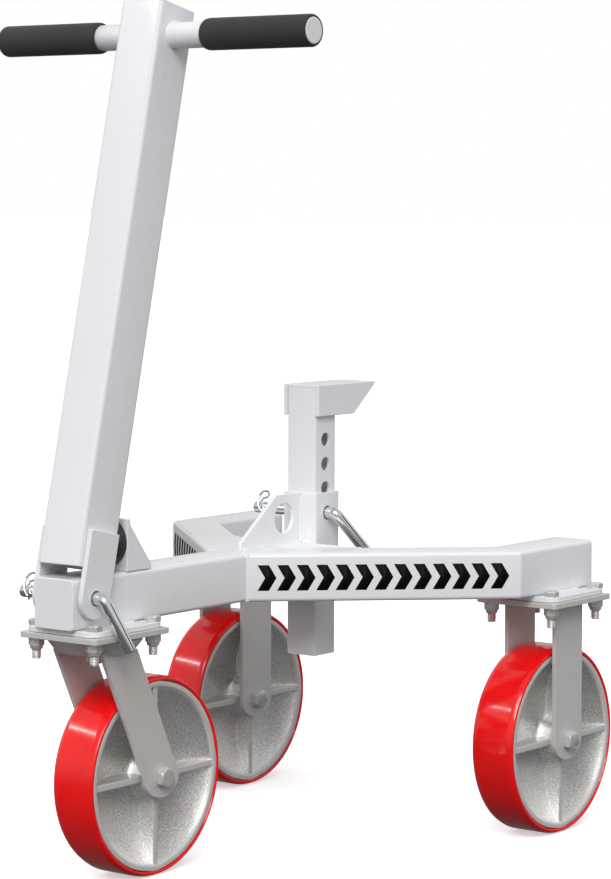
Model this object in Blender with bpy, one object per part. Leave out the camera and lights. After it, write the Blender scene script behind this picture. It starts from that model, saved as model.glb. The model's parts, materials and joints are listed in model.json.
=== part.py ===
"""Three-wheel trailer mover: a Y-shaped square-tube frame on one swivel caster and two
rigid casters, with a pinned height post and a lean-back handle mast.

Lengths are millimetres, turned into metres when a mesh is made. +Z is up, +X is to the
mover's side and -Y is its front (tongue, handle and swivel caster). The origin is on the
floor, under the centre of the bounding box.
"""
import math

import bmesh
import bpy
from mathutils import Matrix, Vector

for leftover in list(bpy.data.objects):
    bpy.data.objects.remove(leftover)

MM = 0.001
GAP = 0.3                      # between two pieces that touch

# Wheels
WHEEL_R = 101.6
WHEEL_HALF = 25.4
RIM_R = 96.8
RING_R = 92.5                  # inside of the rim's outer ring
HUB_R = 21.0
HUB_HALF = 27.2
BEARING_R = 15.0
SPANNER_R = 9.5

# Frame tube, and the height of its underside
TUBE = 50.8
TUBE_WALL = 3.2
TUBE_ROUND = 4.5
FRAME_BOTTOM = 262.7
FRAME_TOP = FRAME_BOTTOM + TUBE
FRAME_MID = FRAME_BOTTOM + TUBE / 2

# Plan of the frame, measured from the height post
TONGUE_FRONT = -419.0
REAR_AXLE = 136.0
POST_Y = (-TONGUE_FRONT - REAR_AXLE - WHEEL_R) / 2   # puts the bounding box on the origin
ARM_ANGLE = math.radians(43)
ARM_START = -148.0             # where an arm's front face leaves the tongue's side
LEG_OUTER = 239.4
LEG_MID = LEG_OUTER - TUBE / 2
LEG_REAR = 194.0

# Swivel caster
KINGPIN_Y = -357.0
FRONT_AXLE = -291.0

# Caster plates and their fixings
PLATE_X = 101.6
PLATE_Y = 114.3
PLATE_T = 6.0
PLATE_ROUND = 5.0
PAD_X = 94.0
PAD_Y = 109.0
PAD_T = 5.5
PAD_ROUND = 14.0
PAD_TOP = FRAME_BOTTOM - GAP
PLATE_TOP = PAD_TOP - PAD_T - GAP
PLATE_BOTTOM = PLATE_TOP - PLATE_T
BOLT_X = 38.1
BOLT_Y = 44.5
BOLT_R = 4.75
FORK_INNER = 28.0
FORK_T = 4.8

# Height post and its sleeve
SLEEVE = 44.4
SLEEVE_WALL = 2.8
SLEEVE_TOP = 367.0
POST = 38.1
POST_WALL = 3.0
POST_BOTTOM = 189.5
HEAD_TOP = 484.0
PIN_Z = 344.5
HOLE_PITCH = 26.5
HOLE_R = 7.5
PIN_R = 6.35
PIN_SPLAY = math.radians(22)   # how far a pin's handle leans away from the frame
PIN_HANDLE = 58.0
PIN_BEND = 8.0
CHEEK_T = 4.8
CAP_T = 3.0
CAP_REAR = 83.5                # the cap closes the head's top between its cheeks

# Handle, laid out along its own axis from the hinge
HINGE_Y = -393.0
HINGE_Z = 293.5
LEAN = math.radians(12.8)
MAST = 54.0                    # wider than the tongue, so that the ears clear its sides
MAST_FROM = 28.1
MAST_TO = 602.0
BAR_AT = 570.7
BAR_R = 13.35
BAR_HALF = 203.0
GRIP_R = 16.3
GRIP_FROM = 69.0
EAR_W = 42.0
EAR_T = 6.1
EAR_TO = 66.0


def at(x, y, z):
    """A point given from the height post, moved to the part's own origin."""
    return Vector((x, y + POST_Y, z))


def finish(name, bm):
    """Turn a bmesh in millimetres into an object in metres."""
    bmesh.ops.recalc_face_normals(bm, faces=bm.faces)
    bmesh.ops.scale(bm, vec=(MM, MM, MM), verts=bm.verts)
    mesh = bpy.data.meshes.new(name)
    bm.to_mesh(mesh)
    bm.free()
    made = bpy.data.objects.new(name, mesh)
    bpy.context.scene.collection.objects.link(made)
    return made


def combine(target, others, operation):
    """Add or cut away the other objects, which are used up."""
    for other in others:
        step = target.modifiers.new("combine", "BOOLEAN")
        step.operation = operation
        step.solver = "EXACT"
        step.object = other
    bpy.context.view_layer.update()
    result = target.evaluated_get(bpy.context.evaluated_depsgraph_get())
    mesh = bpy.data.meshes.new_from_object(result)
    target.modifiers.clear()
    target.data = mesh
    for other in others:
        bpy.data.objects.remove(other)
    return target


def cut(target, *others):
    return combine(target, others, "DIFFERENCE")


def join(target, *others):
    return combine(target, others, "UNION")


def pivot(thing, centre):
    """Move an object's origin to a point in millimetres; its mesh stays put."""
    point = centre * MM
    thing.data.transform(Matrix.Translation(-point))
    thing.location = point
    return thing


def basis(direction):
    """Two unit vectors square to a direction, the second one as near to +Z as it can be."""
    along = Vector(direction).normalized()
    up = Vector((0, 0, 1))
    if abs(along.dot(up)) > 0.999:
        up = Vector((0, 1, 0))
    side = along.cross(up).normalized()
    return along, side, side.cross(along)


def ring_faces(bm, rings, closed=False):
    """Skin a list of vertex rings of equal length."""
    pairs = list(zip(rings, rings[1:]))
    if closed:
        pairs.append((rings[-1], rings[0]))
    for low, high in pairs:
        for i in range(len(low)):
            j = (i + 1) % len(low)
            bm.faces.new((low[i], low[j], high[j], high[i]))


def lathe(name, profile, centre, direction, steps=32, turn=0.0):
    """Turn a closed profile of (distance along the axis, radius) about the axis."""
    along, side, up = basis(direction)
    bm = bmesh.new()
    rings = []
    for i in range(steps):
        angle = 2 * math.pi * i / steps + turn
        radial = side * math.cos(angle) + up * math.sin(angle)
        rings.append([bm.verts.new(centre + along * a + radial * r) for a, r in profile])
    ring_faces(bm, rings, closed=True)
    return finish(name, bm)


def rod(name, centre, direction, start, end, radius, steps=16, turn=0.0):
    """A solid cylinder, or a hexagonal bar with six steps."""
    along, side, up = basis(direction)
    bm = bmesh.new()
    rings = []
    for a in (start, end):
        ring = []
        for i in range(steps):
            angle = 2 * math.pi * i / steps + turn
            radial = side * math.cos(angle) + up * math.sin(angle)
            ring.append(bm.verts.new(centre + along * a + radial * radius))
        rings.append(ring)
    ring_faces(bm, rings)
    bm.faces.new(rings[0])
    bm.faces.new(rings[1])
    return finish(name, bm)


def stack(name, centre, direction, sections, steps=12, turn=0.0):
    """A solid made of round or hexagonal sections: (distance along the axis, radius)."""
    along, side, up = basis(direction)
    bm = bmesh.new()
    rings = []
    for a, radius in sections:
        ring = []
        for i in range(steps):
            angle = 2 * math.pi * i / steps + turn
            radial = side * math.cos(angle) + up * math.sin(angle)
            ring.append(bm.verts.new(centre + along * a + radial * radius))
        rings.append(ring)
    ring_faces(bm, rings)
    bm.faces.new(rings[0])
    bm.faces.new(rings[-1])
    return finish(name, bm)


def slab(name, outline, origin, u, v, thickness):
    """Extrude an outline of (u, v) points by a thickness along u x v."""
    u = Vector(u).normalized()
    v = Vector(v).normalized()
    depth = u.cross(v) * thickness
    bm = bmesh.new()
    near = [bm.verts.new(origin + u * a + v * b) for a, b in outline]
    far = [bm.verts.new(vert.co + depth) for vert in near]
    ring_faces(bm, [near, far])
    bm.faces.new(near)
    bm.faces.new(far)
    return finish(name, bm)


def rounded_rectangle(width, height, radius, steps=2):
    """Outline of a rectangle with rounded corners, centred on zero."""
    points = []
    for quarter in range(4):
        corner_u = (width / 2 - radius) * (1 if quarter in (0, 3) else -1)
        corner_v = (height / 2 - radius) * (1 if quarter in (0, 1) else -1)
        for i in range(steps + 1):
            angle = math.pi / 2 * (quarter + i / steps)
            points.append((corner_u + radius * math.cos(angle), corner_v + radius * math.sin(angle)))
    return points


def square_tube(name, origin, direction, size, wall, radius, start, end, closed_end=False):
    """A square tube between two end planes, each given as (point, normal).

    closed_end leaves a wall across the tube at its end plane.
    """
    along, side, up = basis(direction)

    def meet(offset, plane, inset=0.0):
        point, normal = plane
        base = origin + offset
        distance = (point - base).dot(normal) / along.dot(normal)
        return base + along * (distance - inset)

    outer = rounded_rectangle(size, size, radius)
    inner = rounded_rectangle(size - 2 * wall, size - 2 * wall, max(radius - wall, 1.0))
    bm = bmesh.new()

    def ring(outline, plane, inset=0.0):
        return [bm.verts.new(meet(side * a + up * b, plane, inset)) for a, b in outline]

    outer_start = ring(outer, start)
    outer_end = ring(outer, end)
    inner_start = ring(inner, start)
    inner_end = ring(inner, end, wall if closed_end else 0.0)
    ring_faces(bm, [inner_start, outer_start, outer_end])
    if closed_end:
        ring_faces(bm, [inner_end, inner_start])
        bm.faces.new(outer_end)
        bm.faces.new(inner_end)
    else:
        ring_faces(bm, [outer_end, inner_end, inner_start])
    return finish(name, bm)


def smooth_path(points, steps):
    """Points along a Catmull-Rom curve through the given points."""
    ends = [points[0] * 2 - points[1]] + points + [points[-1] * 2 - points[-2]]
    path = []
    for a, b, c, d in zip(ends, ends[1:], ends[2:], ends[3:]):
        for i in range(steps):
            t = i / steps
            path.append(0.5 * (2 * b + (c - a) * t + (2 * a - 5 * b + 4 * c - d) * t * t
                               + (3 * b - a - 3 * c + d) * t ** 3))
    path.append(points[-1])
    return path


def bent_rod(name, path, radius, flat_normal, steps=12, tip=0.0):
    """A round rod along a path that lies square to flat_normal, with a chamfered start."""
    normal = Vector(flat_normal).normalized()
    bm = bmesh.new()
    rings = []
    stations = [(p, radius) for p in path]
    if tip:
        first = path[0]
        ahead = (path[1] - first).normalized()
        stations[0] = (first + ahead * tip, radius)
        stations.insert(0, (first, radius - tip))
    for i, (point, r) in enumerate(stations):
        before = stations[max(i - 1, 0)][0]
        after = stations[min(i + 1, len(stations) - 1)][0]
        along = (after - before).normalized()
        across = normal.cross(along).normalized()
        ring = []
        for k in range(steps):
            angle = 2 * math.pi * k / steps
            ring.append(bm.verts.new(point + (across * math.cos(angle) + normal * math.sin(angle)) * r))
        rings.append(ring)
    ring_faces(bm, rings)
    bm.faces.new(rings[0])
    bm.faces.new(rings[-1])
    return finish(name, bm)


UP = Vector((0, 0, 1))
RIGHT = Vector((1, 0, 0))
REARWARD = Vector((0, 1, 0))
MAST_DIR = Vector((0, math.sin(LEAN), math.cos(LEAN)))
MAST_BACK = Vector((0, math.cos(LEAN), -math.sin(LEAN)))
HINGE = at(0, HINGE_Y, HINGE_Z)
SIDES = (("right", 1), ("left", -1))


# ---------------------------------------------------------------- frame tubes

CROSS_REAR = -SLEEVE / 2 - GAP
CROSS_FRONT = CROSS_REAR - TUBE

tongue = square_tube(
    "tongue_tube", at(0, 0, FRAME_MID), -REARWARD, TUBE, TUBE_WALL, TUBE_ROUND,
    (at(0, CROSS_FRONT - GAP, 0), REARWARD), (at(0, TONGUE_FRONT, 0), REARWARD), closed_end=True)
cut(tongue, rod("hinge_hole", HINGE, RIGHT, -40, 40, HOLE_R))

for label, sign in SIDES:
    arm_dir = Vector((sign * math.cos(ARM_ANGLE), math.sin(ARM_ANGLE), 0))
    arm_back = Vector((-sign * math.sin(ARM_ANGLE), math.cos(ARM_ANGLE), 0))
    arm_origin = at(sign * TUBE / 2, ARM_START, FRAME_MID) + arm_back * TUBE / 2
    slope = math.tan(ARM_ANGLE)
    outer_y = ARM_START + (LEG_OUTER - TUBE / 2) * slope
    inner_y = ARM_START + (LEG_OUTER - TUBE * 1.5) * slope + TUBE / math.cos(ARM_ANGLE)
    mitre_along = Vector((sign * TUBE, outer_y - inner_y, 0)).normalized()
    mitre_normal = mitre_along.cross(UP)
    if mitre_normal.y < 0:
        mitre_normal = -mitre_normal
    mitre_point = at(sign * LEG_OUTER, outer_y, 0)
    square_tube(
        "arm_tube_" + label, arm_origin, arm_dir, TUBE, TUBE_WALL, TUBE_ROUND,
        (at(sign * (TUBE / 2 + GAP), 0, 0), RIGHT), (mitre_point, mitre_normal))
    square_tube(
        "leg_tube_" + label, at(sign * LEG_MID, 0, FRAME_MID), REARWARD, TUBE, TUBE_WALL, TUBE_ROUND,
        (mitre_point + mitre_normal * GAP, mitre_normal), (at(0, LEG_REAR, 0), REARWARD),
        closed_end=True)

# The cross tube's slanted ends follow the arms' rear faces.
left_back = Vector((math.sin(ARM_ANGLE), math.cos(ARM_ANGLE), 0))
right_back = Vector((-math.sin(ARM_ANGLE), math.cos(ARM_ANGLE), 0))
square_tube(
    "cross_tube", at(0, (CROSS_REAR + CROSS_FRONT) / 2, FRAME_MID), RIGHT, TUBE, TUBE_WALL, TUBE_ROUND,
    (at(-TUBE / 2, ARM_START, 0) + left_back * (TUBE + GAP), left_back),
    (at(TUBE / 2, ARM_START, 0) + right_back * (TUBE + GAP), right_back))

sleeve = square_tube(
    "post_sleeve", at(0, 0, 0), UP, SLEEVE, SLEEVE_WALL, 3.5,
    (at(0, 0, FRAME_BOTTOM), UP), (at(0, 0, SLEEVE_TOP), UP))
cut(sleeve, rod("sleeve_hole", at(0, 0, PIN_Z), RIGHT, -40, 40, HOLE_R))

GUSSET_T = 5.0
gusset = slab(
    "frame_gusset",
    [(-126, FRAME_TOP + GAP), (CROSS_REAR, FRAME_TOP + GAP), (CROSS_REAR, SLEEVE_TOP),
     (-65, SLEEVE_TOP), (-126, FRAME_TOP + 7)],
    at(-GUSSET_T / 2, 0, 0), REARWARD, UP, GUSSET_T)
cut(gusset, rod("chain_hole", at(0, -51.6, 341.5), RIGHT, -10, 10, 16.5, steps=28))


# ---------------------------------------------------------------- caster mountings

def bolt_places(centre_x, centre_y):
    return [(centre_x + sx * BOLT_X, centre_y + sy * BOLT_Y) for sx in (1, -1) for sy in (1, -1)]


def slot_cutters(centre_x, centre_y, radius):
    return [rod("slot", at(x, y, 0), UP, PLATE_BOTTOM - 5, PAD_TOP + 5, radius, steps=12)
            for x, y in bolt_places(centre_x, centre_y)]


def caster_pad(name, centre_x, centre_y):
    pad = slab(name, rounded_rectangle(PAD_X, PAD_Y, PAD_ROUND, 3), at(centre_x, centre_y, PAD_TOP - PAD_T),
               RIGHT, REARWARD, PAD_T)
    return cut(pad, *slot_cutters(centre_x, centre_y, BOLT_R + 0.4))


def caster_plate(name, centre_x, centre_y):
    plate = slab(name, rounded_rectangle(PLATE_X, PLATE_Y, PLATE_ROUND, 3), at(centre_x, centre_y, PLATE_BOTTOM),
                 RIGHT, REARWARD, PLATE_T)
    return cut(plate, *slot_cutters(centre_x, centre_y, BOLT_R + 0.4))


def plate_bolt(name, x, y):
    """Hexagon-head bolt with its lock nut run on."""
    foot = at(x, y, 0)
    head_base = PAD_TOP + GAP
    nut_top = PLATE_BOTTOM - GAP
    shank = rod(name, foot, UP, 229.0, head_base + 1, BOLT_R, steps=12)
    head = stack("head", foot, UP, [(head_base, 8.2), (head_base + 5.3, 8.2), (head_base + 6.3, 7.0)],
                 steps=6)
    nut = stack("nut", foot, UP, [(nut_top - 12.3, 5.6), (nut_top - 9.0, 8.2), (nut_top, 8.2)], steps=6)
    return join(shank, head, nut)


MOUNTINGS = (("front", 0.0, KINGPIN_Y), ("right", LEG_MID, REAR_AXLE), ("left", -LEG_MID, REAR_AXLE))
for label, mid_x, mid_y in MOUNTINGS:
    caster_pad("caster_pad_" + label, mid_x, mid_y)
    for number, (x, y) in enumerate(bolt_places(mid_x, mid_y), 1):
        plate_bolt("plate_bolt_%s_%d" % (label, number), x, y)


# ---------------------------------------------------------------- wheels and axles

TYRE_PROFILE = [(-25.4, 97.1), (-25.4, 99.4), (-19.5, 101.6), (19.5, 101.6), (25.4, 99.4), (25.4, 97.1)]
RIM_PROFILE = [(-24.9, RIM_R), (-24.9, RING_R), (-9, 87), (-3.5, 60), (-6, 28),
               (-HUB_HALF, HUB_R), (-HUB_HALF, BEARING_R + GAP), (HUB_HALF, BEARING_R + GAP),
               (HUB_HALF, HUB_R), (6, 28), (3.5, 60), (9, 87), (24.9, RING_R), (24.9, RIM_R)]


def wheel(label, centre):
    """Cast rim with four ribs each side, its tyre, and the bearing sleeve in its hub."""
    rim = lathe("wheel_" + label, RIM_PROFILE, centre, RIGHT, steps=36)
    ribs = []
    for reach in (UP, REARWARD):
        for way in (1, -1):
            ribs.append(slab("rib", [(19, -3.5), (93.5, -3.5), (93.5, 3.5), (19, 3.5)],
                             centre - RIGHT * 23.5, reach * way, RIGHT.cross(reach * way), 47))
    join(rim, *ribs)
    pivot(rim, centre)
    pivot(lathe("tyre_" + label, TYRE_PROFILE, centre, RIGHT, steps=36), centre)
    sleeve_profile = [(-HUB_HALF, SPANNER_R + 0.3), (HUB_HALF, SPANNER_R + 0.3),
                      (HUB_HALF, BEARING_R), (-HUB_HALF, BEARING_R)]
    pivot(lathe("wheel_bearing_" + label, sleeve_profile, centre, RIGHT, steps=20), centre)


def axle(label, centre, sign):
    """Axle bolt with its head outboard, spanner tube between the legs, and lock nut."""
    out = RIGHT * sign
    face = FORK_INNER + FORK_T + GAP
    bolt = rod("axle_" + label, centre, out, -face - 14, face + 1, PIN_R, steps=16)
    head = stack("head", centre, out, [(face, 11.0), (face + 7.6, 11.0), (face + 8.6, 9.6)], steps=6)
    nut = stack("nut", centre, -out, [(face, 11.0), (face + 8.5, 11.0), (face + 11.5, 7.6)], steps=6)
    spanner = rod("spanner", centre, out, -FORK_INNER + GAP, FORK_INNER - GAP, SPANNER_R, steps=20)
    return join(bolt, head, nut, spanner)


def leg_outline(lean_top_front, lean_top_rear, top):
    """Side view of a fork leg from the axle: a straight-sided strap with a rounded end."""
    points = [(lean_top_rear, top)]
    for i in range(9):
        angle = math.pi * i / 8
        points.append((26.5 * math.cos(angle), -21.0 * math.sin(angle)))
    points.append((lean_top_front, top))
    return points


# ---------------------------------------------------------------- rigid casters

for label, sign in SIDES:
    centre = at(sign * LEG_MID, REAR_AXLE, WHEEL_R)
    bracket = caster_plate("rigid_bracket_" + label, sign * LEG_MID, REAR_AXLE)
    straps = []
    for x in (-FORK_INNER - FORK_T, FORK_INNER):
        straps.append(slab("strap", leg_outline(-27.0, 27.0, PLATE_BOTTOM - WHEEL_R + 3),
                           centre + RIGHT * x, REARWARD, UP, FORK_T))
    join(bracket, *straps)
    cut(bracket, rod("axle_hole", centre, RIGHT, -50, 50, PIN_R + GAP, steps=16))
    wheel(label, centre)
    axle(label, centre, sign)


# ---------------------------------------------------------------- swivel caster

KINGPIN = at(0, KINGPIN_Y, 0)
swivel_plate = caster_plate("swivel_plate", 0, KINGPIN_Y)
collar = rod("collar", KINGPIN, UP, PLATE_BOTTOM - 5.5, PLATE_BOTTOM + 1, 27, steps=24)
join(swivel_plate, collar)
cut(swivel_plate, rod("kingpin_hole", KINGPIN, UP, PLATE_BOTTOM - 10, PAD_TOP, 8.3, steps=20))

kingpin = rod("kingpin", KINGPIN, UP, 222.5, PLATE_TOP - 0.5, 8.0, steps=20)
kingpin_nut = stack("nut", KINGPIN, UP, [(223.5, 12.0), (225.0, 13.8), (233.7, 13.8)], steps=6)
join(kingpin, kingpin_nut)

CUP_PROFILE = [(234.0, 8.8), (234.0, 38.5), (246.5, 48.0), (249.8, 48.0), (249.8, 45.0), (242.0, 42.8),
               (242.0, 31.5), (249.8, 31.5), (249.8, 28.2), (244.0, 28.2), (240.0, 8.8)]
fork = lathe("swivel_fork", CUP_PROFILE, KINGPIN, UP, steps=24)
front_axle = at(0, FRONT_AXLE, WHEEL_R)
trail = FRONT_AXLE - KINGPIN_Y
straps = []
for x in (-FORK_INNER - FORK_T, FORK_INNER):
    straps.append(slab("strap", leg_outline(-27.0 - trail, 27.0 - trail, 237.0 - WHEEL_R),
                       front_axle + RIGHT * x, REARWARD, UP, FORK_T))
join(fork, *straps)
cut(fork, rod("axle_hole", front_axle, RIGHT, -50, 50, PIN_R + GAP, steps=16))
pivot(fork, KINGPIN)

RACE = [(242.4, 34.5), (246.3, 32.6), (250.2, 34.5), (250.2, 39.0), (246.3, 40.9), (242.4, 39.0)]
pivot(lathe("swivel_ball_race", RACE, KINGPIN, UP, steps=24), KINGPIN)

nipple_from = at(18, KINGPIN_Y + 31, 233.6)
nipple_dir = Vector((0.52, 0.62, -0.72)).normalized()
nipple = stack("grease_nipple", nipple_from, nipple_dir,
               [(4.4, 3.2), (6.5, 3.2), (7.0, 2.0), (9.5, 2.0), (11.0, 2.7), (12.5, 1.4)], steps=8)
pivot(nipple, KINGPIN)

wheel("front", front_axle)
pivot(axle("front", front_axle, 1), KINGPIN)


# ---------------------------------------------------------------- height post

post = square_tube("post_tube", at(0, 0, 0), UP, POST, POST_WALL, 3.0,
                   (at(0, 0, POST_BOTTOM), UP), (at(0, 0, HEAD_TOP - CAP_T - GAP), UP))
cut(post, *[rod("post_hole", at(0, 0, PIN_Z + HOLE_PITCH * k), RIGHT, -30, 30, HOLE_R, steps=12)
            for k in range(-1, 4)])
slab("post_cap", rounded_rectangle(POST, CAP_REAR + POST / 2, 1.5),
     at(0, CAP_REAR / 2 - POST / 4, HEAD_TOP - CAP_T), RIGHT, REARWARD, CAP_T)
for label, sign in SIDES:
    start = POST / 2 + GAP if sign > 0 else -POST / 2 - GAP - CHEEK_T
    slab("head_cheek_" + label,
         [(-POST / 2, HEAD_TOP - 34), (46, HEAD_TOP - 34), (83, HEAD_TOP - 4), (85.5, HEAD_TOP),
          (-POST / 2, HEAD_TOP)],
         at(start, 0, 0), REARWARD, UP, CHEEK_T)


# ---------------------------------------------------------------- handle bumper

BUMPER_REAR = -337.3
BUMPER_Z = 342.3
BRACKET_T = 5.0
BRACKET_TOP = 366.3
bracket = slab("bumper_bracket", [(-TUBE / 2, FRAME_TOP + GAP), (TUBE / 2, FRAME_TOP + GAP),
                                  (TUBE / 2, BRACKET_TOP), (-TUBE / 2, BRACKET_TOP)],
               at(0, BUMPER_REAR + GAP + BRACKET_T, 0), RIGHT, UP, BRACKET_T)
webs = []
for x in (-TUBE / 2, TUBE / 2 - BRACKET_T):
    webs.append(slab("web", [(BUMPER_REAR + 1, FRAME_TOP + GAP), (-300, FRAME_TOP + GAP),
                             (-300, FRAME_TOP + 5.5), (-332, 361), (BUMPER_REAR + 1, 361)],
                     at(x, 0, 0), REARWARD, UP, BRACKET_T))
join(bracket, *webs)
cut(bracket, rod("screw_hole", at(0, BUMPER_REAR, BUMPER_Z), REARWARD, -5, 12, 4.3, steps=12))
lathe("bumper_pad", [(0, 4.3), (0, 24.5), (-8.2, 24.5), (-9.4, 23.0), (-9.4, 9.5), (-4.0, 9.5), (-4.0, 4.3)],
      at(0, BUMPER_REAR, BUMPER_Z), REARWARD, steps=20)
screw_at = at(0, BUMPER_REAR, BUMPER_Z)
screw = rod("bumper_screw", screw_at, REARWARD, -5.0, 13.5, 4.0, steps=12)
screw_head = rod("head", screw_at, REARWARD, -7.6, -4.3, 7.5, steps=12)
screw_nut = rod("nut", screw_at, REARWARD, BRACKET_T + 2 * GAP, BRACKET_T + 2 * GAP + 6.0, 7.5, steps=6)
join(screw, screw_head, screw_nut)


# ---------------------------------------------------------------- handle

mast = square_tube("mast_tube", HINGE, MAST_DIR, MAST, 2.6, TUBE_ROUND,
                   (HINGE + MAST_DIR * MAST_FROM, MAST_DIR), (HINGE + MAST_DIR * MAST_TO, MAST_DIR),
                   closed_end=True)
BAR_CENTRE = HINGE + MAST_DIR * BAR_AT
cut(mast, rod("bar_hole", BAR_CENTRE, RIGHT, -40, 40, BAR_R + GAP, steps=24))
pivot(mast, HINGE)

for label, sign in SIDES:
    outline = [(EAR_W / 2, EAR_TO), (-EAR_W / 2, EAR_TO)]
    for i in range(9):
        angle = math.pi + math.pi * i / 8
        outline.append((EAR_W / 2 * math.cos(angle), EAR_W / 2 * math.sin(angle)))
    start = MAST / 2 + GAP if sign > 0 else -MAST / 2 - GAP - EAR_T
    ear = slab("hinge_ear_" + label, outline, HINGE + RIGHT * start, MAST_BACK, MAST_DIR, EAR_T)
    cut(ear, rod("ear_hole", HINGE, RIGHT, -50, 50, HOLE_R))
    pivot(ear, HINGE)

pivot(rod("handle_bar", BAR_CENTRE, RIGHT, -BAR_HALF, BAR_HALF, BAR_R, steps=24), HINGE)
for label, sign in SIDES:
    grip = lathe("grip_" + label,
                 [(GRIP_FROM, BAR_R + GAP), (GRIP_FROM, GRIP_R - 3), (GRIP_FROM + 3, GRIP_R),
                  (BAR_HALF - 2.5, GRIP_R), (BAR_HALF, GRIP_R - 2), (BAR_HALF, BAR_R + GAP)],
                 BAR_CENTRE, RIGHT * sign, steps=24)
    pivot(grip, HINGE)


# ---------------------------------------------------------------- pull pins and clips

def bend(corner, first, second, radius, steps=6):
    """Points of a fillet that turns from one direction to another at a corner."""
    turn = first.angle(second)
    inward = (second - first * first.dot(second)).normalized()
    centre = corner - first * radius * math.tan(turn / 2) + inward * radius
    angles = [turn * i / steps for i in range(steps + 1)]
    return [centre + (first * math.sin(a) - inward * math.cos(a)) * radius for a in angles]


def pull_pin(name, centre, tip_x, corner_x, swing):
    """Bent pin that lies along X, its handle splayed outward and swung rearward."""
    hang = REARWARD * math.sin(swing) - UP * math.cos(swing)
    handle = RIGHT * math.sin(PIN_SPLAY) + hang * math.cos(PIN_SPLAY)
    corner = centre + RIGHT * corner_x
    path = [centre + RIGHT * tip_x, centre + RIGHT * (tip_x + 30)]
    path += bend(corner, RIGHT, handle, PIN_BEND)
    path.append(corner + handle * PIN_HANDLE)
    made = bent_rod(name, path, PIN_R, RIGHT.cross(handle), steps=12, tip=1.6)
    cut(made, rod("clip_hole", centre + RIGHT * (tip_x + 8.5), UP, -10, 10, 2.0, steps=8))
    return pivot(made, centre)


# From the leg in the pin's hole, over the pin in a loop, and down its front: (along X, Y, Z).
CLIP_CURVE = [(0, 0, -8.5), (0, 0, 6.8), (0, 0.9, 8.9), (0, 4.2, 10.0), (0, 8.8, 10.2), (0, 12.0, 12.2),
              (0, 11.0, 15.8), (0, 6.8, 17.6), (0, 1.2, 16.9), (0, -3.6, 13.6), (0, -6.6, 9.0),
              (0.8, -8.3, 4.2), (2.8, -8.6, 0.2), (5.2, -8.1, -3.6)]
CLIP_R = 1.3


def hairpin_clip(name, centre, station_x):
    """Spring clip: a straight leg through the pin, a loop above it and a leg in front of it."""
    middle = centre + RIGHT * station_x
    points = [middle + Vector(point) for point in CLIP_CURVE]
    return pivot(bent_rod(name, smooth_path(points, 2), CLIP_R, RIGHT, steps=6), middle)


POST_PIN = at(0, 0, PIN_Z)
pull_pin("post_pin", POST_PIN, -77.0, 33.0, math.radians(34))
hairpin_clip("post_pin_clip", POST_PIN, -68.5)
pull_pin("hinge_pin", HINGE, -64.6, 43.0, math.radians(16.4))
hairpin_clip("hinge_pin_clip", HINGE, -56.1)


# ---------------------------------------------------------------- finishes

# Colour, metallic value and roughness. The first finish whose words start a name is used.
FINISHES = [
    (("wheel_bearing", "swivel_ball_race"), (0.60, 0.60, 0.60), 1.0, 0.25),
    (("wheel",), (0.50, 0.50, 0.49), 0.8, 0.42),
    (("tyre",), (0.72, 0.012, 0.014), 0.0, 0.14),
    (("grip",), (0.035, 0.037, 0.041), 0.0, 0.82),
    (("bumper_pad",), (0.03, 0.031, 0.033), 0.0, 0.55),
    (("post_pin", "hinge_pin"), (0.72, 0.745, 0.755), 1.0, 0.09),
    (("plate_bolt", "axle", "bumper_screw", "kingpin", "grease_nipple"), (0.66, 0.655, 0.64), 0.85, 0.3),
    (("rigid_bracket", "swivel"), (0.42, 0.41, 0.40), 0.85, 0.42),
    (("",), (0.83, 0.84, 0.865), 0.0, 0.3),
]

for thing in bpy.data.objects:
    colour, metallic, roughness = next(look for words, *look in FINISHES
                                       if thing.name.startswith(tuple(words)))
    material = bpy.data.materials.new(thing.name)
    material.use_nodes = True
    principled = material.node_tree.nodes["Principled BSDF"]
    principled.inputs["Base Color"].default_value = (*colour, 1)
    principled.inputs["Metallic"].default_value = metallic
    principled.inputs["Roughness"].default_value = roughness
    thing.data.materials.clear()
    thing.data.materials.append(material)
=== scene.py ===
"""Looks of a three-wheel trailer mover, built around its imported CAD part.

Shapes are drawn in millimetres and become metres when a piece is made. Places come from the
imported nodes' boxes. +Z is up, +X to the mover's side, and -Y is its front (tongue and handle).
"""

import json
import math

import bmesh
import bpy
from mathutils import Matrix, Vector


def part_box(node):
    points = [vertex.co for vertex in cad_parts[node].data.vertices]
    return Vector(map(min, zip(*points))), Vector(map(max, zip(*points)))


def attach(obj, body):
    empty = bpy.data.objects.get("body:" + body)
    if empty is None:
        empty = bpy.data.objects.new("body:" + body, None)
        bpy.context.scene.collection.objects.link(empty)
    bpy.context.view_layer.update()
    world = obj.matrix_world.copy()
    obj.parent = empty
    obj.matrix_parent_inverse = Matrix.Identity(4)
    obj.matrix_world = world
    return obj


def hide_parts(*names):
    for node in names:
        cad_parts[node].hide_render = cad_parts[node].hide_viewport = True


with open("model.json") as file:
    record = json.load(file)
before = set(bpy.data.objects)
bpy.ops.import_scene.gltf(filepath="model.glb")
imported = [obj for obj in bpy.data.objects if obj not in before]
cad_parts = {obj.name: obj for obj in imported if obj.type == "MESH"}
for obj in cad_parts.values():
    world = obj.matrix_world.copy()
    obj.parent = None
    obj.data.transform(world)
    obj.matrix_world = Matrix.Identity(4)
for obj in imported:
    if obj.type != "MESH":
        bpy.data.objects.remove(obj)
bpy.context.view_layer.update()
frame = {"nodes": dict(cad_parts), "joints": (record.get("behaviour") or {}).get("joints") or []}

MM = 0.001
UP = Vector((0, 0, 1))
RIGHT = Vector((1, 0, 0))
REARWARD = Vector((0, 1, 0))
SIDES = (("right", 1), ("left", -1))
PLACES = ("front", "right", "left")


def at(x, y, z):
    return Vector((x, y, z))


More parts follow.
